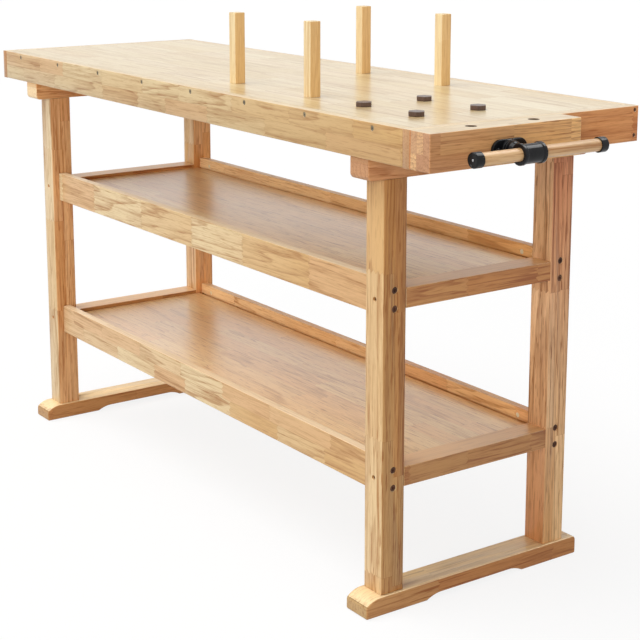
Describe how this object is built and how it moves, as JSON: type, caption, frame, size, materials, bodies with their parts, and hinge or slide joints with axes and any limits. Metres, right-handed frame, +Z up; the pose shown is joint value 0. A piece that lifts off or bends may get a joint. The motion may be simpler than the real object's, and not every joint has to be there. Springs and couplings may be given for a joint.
{
  "type": "woodworking bench with end vise",
  "caption": "Wooden workbench on sledge feet with a framed top, tray shelves bolted between the legs, lift-out dogs and posts, and a screw-driven end vise with a sliding handle.",
  "frame": {"origin": "floor level, under the middle of the overall box", "axes": "+X along the bench towards the vise, +Y from the front to the back, +Z up"},
  "size_m": [1.6404, 0.5, 0.9923],
  "materials": {
    "pale_wood": "satin varnish",
    "honey_wood": "satin varnish",
    "amber_wood": "satin varnish",
    "dark_wood": "satin",
    "black_metal": "satin black",
    "bright_steel": "turned",
    "bronze_steel": "dark plated",
    "black_plastic": "moulded"
  },
  "bodies": {
    "bench": {"top_panel": "pale_wood", "front_apron": "honey_wood", "back_apron": "honey_wood", "left_end_apron": "honey_wood", "right_end_apron": "amber_wood", "front_left_leg": "honey_wood", "front_right_leg": "honey_wood", "back_left_leg": "honey_wood", "back_right_leg": "honey_wood", "left_foot": "honey_wood", "right_foot": "honey_wood", "left_bearer": "amber_wood", "right_bearer": "amber_wood", "upper_left_end_rail": "amber_wood", "upper_right_end_rail": "amber_wood", "lower_left_end_rail": "amber_wood", "lower_right_end_rail": "amber_wood", "upper_front_rail": "honey_wood", "upper_back_rail": "honey_wood", "lower_front_rail": "honey_wood", "lower_back_rail": "honey_wood", "upper_shelf": "amber_wood", "lower_shelf": "amber_wood", "guide_block": "honey_wood", "vise_nut": "black_metal", "upper_front_left_bolt_1": "bronze_steel", "upper_front_left_bolt_2": "bronze_steel", "upper_front_right_bolt_1": "bronze_steel", "upper_front_right_bolt_2": "bronze_steel", "upper_back_left_bolt_1": "bronze_steel", "upper_back_left_bolt_2": "bronze_steel", "upper_back_right_bolt_1": "bronze_steel", "upper_back_right_bolt_2": "bronze_steel", "lower_front_left_bolt_1": "bronze_steel", "lower_front_left_bolt_2": "bronze_steel", "lower_front_right_bolt_1": "bronze_steel", "lower_front_right_bolt_2": "bronze_steel", "lower_back_left_bolt_1": "bronze_steel", "lower_back_left_bolt_2": "bronze_steel", "lower_back_right_bolt_1": "bronze_steel", "lower_back_right_bolt_2": "bronze_steel"},
    "vise_jaw": {"vise_jaw": "amber_wood", "vise_flange": "black_metal", "flange_screw_1": "black_metal", "flange_screw_2": "black_metal", "front_guide_rod": "bright_steel", "back_guide_rod": "bright_steel"},
    "vise_screw": {"vise_screw": "bright_steel", "vise_hub": "black_metal"},
    "vise_handle": {"vise_handle": "honey_wood", "front_handle_cap": "black_plastic", "back_handle_cap": "black_plastic"},
    "front_left_dog": {"front_left_dog": "dark_wood"},
    "front_right_dog": {"front_right_dog": "dark_wood"},
    "back_left_dog": {"back_left_dog": "dark_wood"},
    "back_right_dog": {"back_right_dog": "dark_wood"},
    "front_left_post": {"front_left_post": "honey_wood"},
    "front_right_post": {"front_right_post": "honey_wood"},
    "back_left_post": {"back_left_post": "honey_wood"},
    "back_right_post": {"back_right_post": "honey_wood"}
  },
  "joints": [
    {"name": "jaw_slide", "type": "slide", "parent": "bench", "child": "vise_jaw", "axis": [1, 0, 0], "range_m": [0, 0.1215]},
    {"name": "screw_turn", "type": "hinge", "parent": "vise_jaw", "child": "vise_screw", "pos_m": [0.7038, -0.0915, 0.819], "axis": [1, 0, 0], "range_deg": [0, 7290]},
    {"name": "handle_slide", "type": "slide", "parent": "vise_screw", "child": "vise_handle", "axis": [0, 1, 0], "range_m": [-0.121, 0.077]},
    {"name": "front_left_dog_lift", "type": "slide", "parent": "bench", "child": "front_left_dog", "axis": [0, 0, 1], "range_m": [0, 0.041]},
    {"name": "front_right_dog_lift", "type": "slide", "parent": "bench", "child": "front_right_dog", "axis": [0, 0, 1], "range_m": [0, 0.041]},
    {"name": "back_left_dog_lift", "type": "slide", "parent": "bench", "child": "back_left_dog", "axis": [0, 0, 1], "range_m": [0, 0.041]},
    {"name": "back_right_dog_lift", "type": "slide", "parent": "bench", "child": "back_right_dog", "axis": [0, 0, 1], "range_m": [0, 0.041]},
    {"name": "front_left_post_lift", "type": "slide", "parent": "bench", "child": "front_left_post", "axis": [0, 0, 1], "range_m": [0, 0.041]},
    {"name": "front_right_post_lift", "type": "slide", "parent": "bench", "child": "front_right_post", "axis": [0, 0, 1], "range_m": [0, 0.041]},
    {"name": "back_left_post_lift", "type": "slide", "parent": "bench", "child": "back_left_post", "axis": [0, 0, 1], "range_m": [0, 0.041]},
    {"name": "back_right_post_lift", "type": "slide", "parent": "bench", "child": "back_right_post", "axis": [0, 0, 1], "range_m": [0, 0.041]}
  ],
  "couplings": [
    {"joint": "jaw_slide", "follows": "screw_turn", "m_per_rad": 0.00095492}
  ]
}
